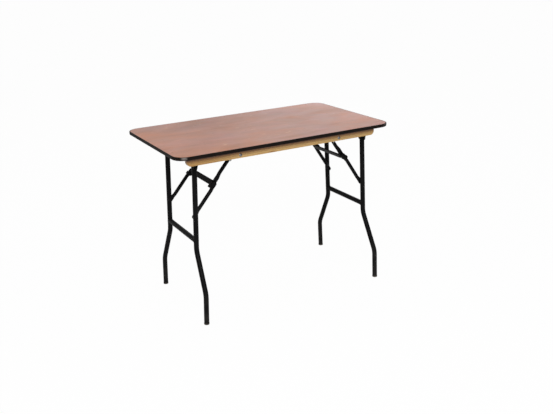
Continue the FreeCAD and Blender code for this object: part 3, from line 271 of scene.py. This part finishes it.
def varnished_pine():
    """Softwood cut along the grain: pale early wood, thin amber late wood, a few knots, and
    painted shade under the overhang and at the left end.
    """
    s = Shader("varnished_pine")
    drift = s.noise(detail=2.0, on=s.stretched((1.8, 12.0, 12.0)))
    rings = s.add("ShaderNodeTexWave", wave_type="BANDS", bands_direction="Z",
                  wave_profile="SAW")
    s.fill(rings, Scale=42.0, Distortion=7.0, Detail=2.5, Detail_Scale=0.6)
    s.join(s.stretched((0.09, 1.0, 1.0), turn=(0.25, 0.0, 0.0)), rings.inputs["Vector"])
    colour = s.ramp(rings.outputs["Fac"], (0.0, (0.55, 0.365, 0.150)),
                    (0.55, (0.50, 0.320, 0.118)), (0.93, (0.38, 0.215, 0.066)),
                    (1.0, (0.48, 0.300, 0.108)))
    tone = s.ramp(drift, (0.3, (0.86, 0.82, 0.78)), (0.7, (1.06, 1.04, 1.0)))
    colour = s.tinted(colour, tone, 0.8)
    fibres = s.noise(detail=4.0, roughness=0.7, on=s.stretched((30.0, 1100.0, 1100.0)))
    fine = s.ramp(fibres, (0.33, 0.74), (0.48, 1.0))
    colour = s.tinted(colour, fine, 0.5)
    knots = s.add("ShaderNodeTexVoronoi", feature="F1")
    s.fill(knots, Scale=1.0)
    s.join(s.stretched((5.5, 14.0, 14.0)), knots.inputs["Vector"])
    knot = s.ramp(knots.outputs["Distance"], (0.05, (0.50, 0.36, 0.24)),
                  (0.085, (0.66, 0.50, 0.36)), (0.13, NEUTRAL))
    colour = s.tinted(colour, knot, 0.7)
    # Painted shadow: the rail darkens to near black in the corner under the overhang, where the
    # top shades it
    painted_shadow = s.ramp(s.spread(s.coordinate("Z"), *OVERHANG_SHADOW_HEIGHTS), (0.0, NEUTRAL),
                   (0.33, (0.82, 0.72, 0.64)), (0.52, (0.46, 0.31, 0.24)),
                   (0.70, (0.12, 0.07, 0.05)), (1.0, (0.03, 0.02, 0.016)))
    colour = s.tinted(colour, painted_shadow, 0.95)
    # Towards the left end painted shade darkens the rail, and the varnish there is more orange
    left_shade_and_varnish = s.ramp(s.spread(s.coordinate("X"), *SHADE_AND_VARNISH_LEFT_END), (0.0, NEUTRAL),
                   (1.0, (0.82, 0.73, 0.60)))
    colour = s.tinted(colour, left_shade_and_varnish)
    roughness = s.spread(fibres, 0.3, 0.7, 0.34, 0.50)
    normal = s.bump(fibres, 0.35, 0.0003)
    normal = s.bump(rings.outputs["Fac"], 0.12, 0.0006, normal)
    return s.finish(colour, roughness, normal, Coat_Weight=0.15, Coat_Roughness=0.25)


def corner_highlight(s, patches):
    """How strong the painted highlight on the edging's corners is: most at the near left one,
    high up.
    """
    end_share, side_share = math.sin(HIGHLIGHT_FACING), math.cos(HIGHLIGHT_FACING)
    centre_x, centre_y = HALF_LENGTH - CORNER_RADIUS, HALF_WIDTH - CORNER_RADIUS
    # Seen along the way that a corner faces, only the corner itself comes this far out
    outermost = centre_x * end_share + centre_y * side_share + CORNER_RADIUS
    ends = s.times(s.maths("ABSOLUTE", s.coordinate("X")), end_share)
    sides = s.times(s.maths("ABSOLUTE", s.coordinate("Y")), side_share)
    on_corner = s.spread(s.plus(ends, sides), outermost - HIGHLIGHT_DEPTH, outermost)
    highlight = s.maths("POWER", on_corner, 1.7)
    slant = s.plus(s.coordinate("X"), s.coordinate("Y"))
    brightest = s.spread(slant, *BRIGHTEST_TO_FAINTEST_HIGHLIGHT, 1.0, 0.2)
    upper = s.spread(s.coordinate("Z"), *CORNER_HIGHLIGHT_HEIGHTS, 0.15, 1.0)
    highlight = s.times(s.times(highlight, brightest), upper)
    highlight = s.times(highlight, s.spread(patches, 0.35, 0.60, 0.7, 1.0))
    # The painted highlight is broken into fine specks
    speckle = s.noise(420.0, detail=4.0, roughness=0.75, on=s.stretched((1.0, 1.0, 2.2)))
    return s.times(highlight, s.spread(speckle, 0.38, 0.58, 0.25, 1.0))


def black_rubber(name, dull=0.0, dusty_heights=None, highlit_corners=False):
    """Moulded rubber: satin skin, fine pebble, pale scuffs, and dust or a painted corner
    highlight where asked.
    """
    s = Shader(name)
    pebble = s.noise(1400.0, detail=2.0, roughness=0.6)
    patches = s.noise(28.0, detail=4.0, roughness=0.6)
    scuffs = s.noise(detail=3.0, roughness=0.7, distortion=0.4,
                     on=s.stretched((20.0, 20.0, 260.0)))
    base = s.ramp(patches, (0.3, (0.0052, 0.0032, 0.0024)), (0.7, (0.0094, 0.0066, 0.0054)))
    marks = s.ramp(scuffs, (0.66, 0.0), (0.74, 1.0))
    colour = s.mix(s.times(marks, 0.35), base, (0.065, 0.062, 0.058))
    # A painted highlight, pale grey, on the edging's corners
    if highlit_corners:
        colour = s.mix(corner_highlight(s, patches), colour, (0.36, 0.315, 0.29))
    if dusty_heights:
        low = s.spread(s.coordinate("Z"), *dusty_heights, 1.0, 0.0)
        dust = s.times(low, s.spread(patches, 0.35, 0.65, 0.25, 0.8))
        colour = s.mix(dust, colour, (0.13, 0.115, 0.095))
    roughness = s.spread(patches, 0.3, 0.7, 0.38 + dull, 0.52 + dull)
    normal = s.bump(pebble, 0.35, 0.00015)
    normal = s.bump(scuffs, 0.10, 0.0004, normal)
    return s.finish(colour, roughness, normal, Specular_IOR_Level=0.07)


def black_powder_coat():
    """Satin black powder coat on steel: orange peel, faint rubs, dull dust low down."""
    s = Shader("black_powder_coat")
    peel = s.noise(520.0, detail=2.0)
    cloud = s.noise(14.0, detail=3.0, roughness=0.6)
    rubs = s.noise(detail=4.0, roughness=0.75, distortion=0.6,
                   on=s.stretched((90.0, 90.0, 12.0)))
    base = s.ramp(cloud, (0.3, (0.0030, 0.0030, 0.0033)), (0.7, (0.0065, 0.0065, 0.0068)))
    worn = s.ramp(rubs, (0.70, 0.0), (0.78, 1.0))
    colour = s.mix(s.times(worn, 0.30), base, (0.050, 0.048, 0.046))
    low = s.spread(s.coordinate("Z"), *DUSTY_LEG_HEIGHTS, 1.0, 0.0)
    dust = s.times(low, s.spread(cloud, 0.35, 0.65, 0.05, 0.30))
    colour = s.mix(dust, colour, (0.070, 0.065, 0.058))
    roughness = s.plus(s.spread(cloud, 0.3, 0.7, 0.30, 0.40), s.times(dust, 0.4))
    normal = s.bump(peel, 0.22, 0.0003)
    return s.finish(colour, roughness, normal, Specular_IOR_Level=0.055)


def zinc_plate(name, light, tarnish):
    """Zinc plate with a soft crystalline mottle, and tarnish in patches."""
    s = Shader(name)
    mottle = s.noise(420.0, detail=3.0, roughness=0.6)
    patches = s.noise(60.0, detail=3.0, roughness=0.6)
    base = s.ramp(mottle, (0.3, tuple(0.82 * part for part in light)), (0.7, light))
    stained = s.ramp(patches, (0.45, 0.0), (0.70, 1.0))
    colour = s.mix(s.times(stained, 0.6), base, tarnish)
    roughness = s.spread(patches, 0.3, 0.7, 0.28, 0.46)
    normal = s.bump(mottle, 0.15, 0.0001)
    return s.finish(colour, roughness, normal, Metallic=1.0)


PLYWOOD = varnished_plywood()
PINE = varnished_pine()
EDGING = black_rubber("edging_rubber", highlit_corners=True)
FEET = black_rubber("foot_rubber", dull=0.14, dusty_heights=DUSTY_FOOT_HEIGHTS)
PAINT = black_powder_coat()
BRIGHT = zinc_plate("bright_zinc", light=(0.60, 0.60, 0.59), tarnish=(0.34, 0.32, 0.28))
DULL = zinc_plate("dull_zinc", light=(0.26, 0.255, 0.25), tarnish=(0.12, 0.10, 0.08))

OWN_FINISH = {"board": PLYWOOD, "edge_moulding": EDGING, "rail_bolts": DULL}
SLOT_FINISH = {"plywood": PLYWOOD, "pine": PINE, "edging": EDGING, "rubber_foot": FEET,
               "painted_steel": PAINT, "zinc": BRIGHT}

for subpart in frame["record"]["subparts"]:
    name = subpart["node"]
    mesh = nodes[name].data
    mesh.materials.clear()
    mesh.materials.append(OWN_FINISH.get(name, SLOT_FINISH[subpart["material_slot"]]))


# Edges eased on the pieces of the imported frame

def ease_edges(names, width):
    """Round the pieces' hard edges a little; their loose triangles are welded first."""
    for name in names:
        piece = nodes[name]
        weld = piece.modifiers.new("weld", "WELD")
        weld.merge_threshold = WELD_DISTANCE
        bevel = piece.modifiers.new("eased_edges", "BEVEL")
        bevel.width = width
        bevel.segments = 2
        bevel.limit_method = "ANGLE"
        bevel.angle_limit = HARD_EDGE
        bevel.use_clamp_overlap = True


ease_edges(["rail_%s" % row for row in ROWS], RAIL_EDGE_ROUND)
ease_edges(["%s_link_bar" % side for side in SIDES], STRIP_EDGE_ROUND)
ease_edges(["%s_knuckle_stop_%s" % (side, row) for side in SIDES for row in ROWS],
           STRIP_EDGE_ROUND)


# Small pieces that the frame leaves out

def new_piece(name, shape, finish, body):
    """A finished mesh as a piece of the table that moves with one body."""
    bmesh.ops.remove_doubles(shape, verts=shape.verts, dist=SAME_POINT)
    bmesh.ops.recalc_face_normals(shape, faces=shape.faces)
    mesh = bpy.data.meshes.new(name)
    shape.to_mesh(mesh)
    shape.free()
    for face in mesh.polygons:
        face.use_smooth = True
    mesh.materials.append(finish)
    piece = bpy.data.objects.new(name, mesh)
    bpy.context.scene.collection.objects.link(piece)
    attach(piece, body)


def spun(shape, verts, edges, axis, steps):
    """A full turn of an outline about an axis through the origin; gives all its vertices."""
    others = set(shape.verts) - set(verts)
    bmesh.ops.spin(shape, geom=verts + edges, cent=(0, 0, 0), axis=axis, dvec=(0, 0, 0),
                   angle=math.tau, steps=steps, use_merge=True, use_normal_flip=False,
                   use_duplicate=False)
    return [vert for vert in shape.verts if vert not in others]


def middle(node):
    """The middle of a node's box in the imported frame."""
    low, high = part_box(node)
    return (Vector(low) + Vector(high)) / 2


def lean_of(side):
    """The signed angle by which the legs of one side lean away from upright."""
    return -LEG_LEAN if side == "left" else LEG_LEAN


def weld_beads(side):
    """The beads that run round the crossbar's ends, in the corner between bar and leg."""
    shape = bmesh.new()
    bar = middle("%s_leg_crossbar" % side)
    for way in (-1, 1):
        section = bmesh.ops.create_circle(shape, segments=BEAD_SEGMENTS,
                                          radius=BEAD_RADIUS)["verts"]
        on_bar = Matrix.Translation((LEG_RADIUS, 0.0, 0.0))
        bmesh.ops.transform(shape, matrix=on_bar, verts=section)
        edges = [edge for edge in shape.edges if edge.verts[0] in section]
        for vert in spun(shape, section, edges, (0, 1, 0), BEAD_STEPS):
            turn = math.atan2(vert.co.z, vert.co.x)
            # The bead follows the leg's round surface, which reaches this far from its axis
            aside = LEG_RADIUS * math.cos(turn + lean_of(side))
            reach = math.sqrt(max(LEG_RADIUS ** 2 - aside ** 2, 0.0))
            ripple = 1.0 + BEAD_RIPPLE * math.sin(BEAD_RIPPLES * turn)
            ring = Vector((LEG_RADIUS * math.cos(turn), 0.0, LEG_RADIUS * math.sin(turn)))
            vert.co = ring + (vert.co - ring) * ripple
            vert.co.y -= way * reach
            vert.co += Vector((bar.x, way * HALF_LEG_GAUGE, bar.z))
    new_piece("%s_weld_beads" % side, shape, PAINT, "%s_leg_frame" % side)


def tube_plugs(side):
    """Domed black caps in the open tops of the legs."""
    shape = bmesh.new()
    lean = lean_of(side)
    x = LEG_PIVOT_X[side] + math.sin(lean) * LEG_TOP_OVERRUN
    z = LEG_PIVOT_HEIGHT + math.cos(lean) * LEG_TOP_OVERRUN
    for row in ROWS:
        leg = middle("%s_leg_%s" % (side, row))
        y = math.copysign(HALF_LEG_GAUGE, leg.y)
        verts = [shape.verts.new((radius, 0.0, height))
                 for radius, height in PLUG_RADII_AND_HEIGHTS]
        edges = [shape.edges.new(pair) for pair in zip(verts, verts[1:])]
        cap = spun(shape, verts, edges, (0, 0, 1), PLUG_STEPS)
        on_leg = Matrix.Translation((x, y, z)) @ Matrix.Rotation(lean, 4, "Y")
        bmesh.ops.transform(shape, matrix=on_leg, verts=cap)
    bmesh.ops.remove_doubles(shape, verts=shape.verts, dist=SAME_POINT)
    rims = [edge for edge in shape.edges if edge.is_boundary]
    bmesh.ops.holes_fill(shape, edges=rims, sides=PLUG_STEPS)
    new_piece("%s_leg_plugs" % side, shape, FEET, "%s_leg_frame" % side)


for side in SIDES:
    weld_beads(side)
    tube_plugs(side)


# Stage: a white floor and a white world behind it, the lamps and the camera

def make_floor():
    """A wide floor that the camera sees as white, with a trace of the table's shadow."""
    mesh = bpy.data.meshes.new("floor")
    shape = bmesh.new()
    bmesh.ops.create_grid(shape, x_segments=1, y_segments=1, size=FLOOR_REACH)
    shape.to_mesh(mesh)
    shape.free()
    floor = bpy.data.objects.new("floor", mesh)
    bpy.context.scene.collection.objects.link(floor)
    s = Shader("white_floor")
    colour = s.ramp(s.noise(3.0, detail=2.0), (0.3, 0.80), (0.7, 0.81))
    s.join(colour, s.surface.inputs["Base Color"])
    s.fill(s.surface, Roughness=0.9, Specular_IOR_Level=0.1)
    seen = s.add("ShaderNodeLightPath").outputs["Is Camera Ray"]
    glow = s.add("ShaderNodeEmission")
    s.fill(glow, Strength=1.0)
    blend = s.add("ShaderNodeMixShader")
    s.join(s.times(seen, FLOOR_PLAIN_SHARE), blend.inputs["Fac"])
    s.join(s.surface.outputs["BSDF"], blend.inputs[1])
    s.join(glow.outputs["Emission"], blend.inputs[2])
    s.join(blend.outputs["Shader"], s.tree.nodes["Material Output"].inputs["Surface"])
    mesh.materials.append(s.material)


def make_world():
    """White to the camera, and a soft white light of half that strength on the table."""
    world = bpy.data.worlds.new("white_studio")
    bpy.context.scene.world = world
    world.use_nodes = True
    tree = world.node_tree
    light = tree.nodes["Background"]
    seen = tree.nodes.new("ShaderNodeBackground")
    for background, strength in ((light, 0.50), (seen, 1.0)):
        background.inputs["Color"].default_value = (1, 1, 1, 1)
        background.inputs["Strength"].default_value = strength
    rays = tree.nodes.new("ShaderNodeLightPath")
    blend = tree.nodes.new("ShaderNodeMixShader")
    tree.links.new(rays.outputs["Is Camera Ray"], blend.inputs["Fac"])
    tree.links.new(light.outputs["Background"], blend.inputs[1])
    tree.links.new(seen.outputs["Background"], blend.inputs[2])
    tree.links.new(blend.outputs["Shader"], tree.nodes["World Output"].inputs["Surface"])


def add_lamp(name, place, aim, size, power):
    """A round soft lamp; its size is in metres and its power in watts."""
    light = bpy.data.lights.new(name, "AREA")
    light.shape = "DISK"
    light.size = size
    light.energy = power
    lamp = bpy.data.objects.new(name, light)
    bpy.context.scene.collection.objects.link(lamp)
    lamp.location = place
    lamp.rotation_euler = (Vector(aim) - Vector(place)).to_track_quat("-Z", "Y").to_euler()


def add_camera():
    """The photograph's viewpoint, as fitted to the edges of the top, rails, legs and feet."""
    data = bpy.data.cameras.new("photo_view")
    data.sensor_width = 36.0
    data.lens = 46.159
    data.shift_x = 0.0443
    data.clip_end = 60.0
    camera = bpy.data.objects.new("photo_view", data)
    bpy.context.scene.collection.objects.link(camera)
    place = (-1.4553, -2.7163, 1.4773)
    right = Vector((0.881000, -0.471857, -0.034506))
    down = Vector((-0.186946, -0.280191, -0.941565))
    forward = Vector((0.434615, 0.835969, -0.335060))
    turn = Matrix((right, -down, -forward)).transposed()
    camera.matrix_world = Matrix.Translation(place) @ turn.to_4x4()
    bpy.context.scene.camera = camera


make_floor()
make_world()
add_lamp("key", place=(-1.3, -2.9, 2.7), aim=(0.0, 0.0, 0.55), size=1.5, power=88.0)
add_lamp("top", place=(0.4, 0.3, 3.4), aim=(0.0, 0.0, 0.7), size=2.5, power=10.0)
add_lamp("back", place=(2.3, 3.2, 1.55), aim=(0.2, 0.1, 0.7), size=1.6, power=6.0)
add_lamp("back_left", place=(0.6, 3.3, 1.55), aim=(-0.3, 0.1, 0.7), size=1.6, power=2.2)
add_camera()
bpy.context.scene.view_settings.view_transform = "Standard"
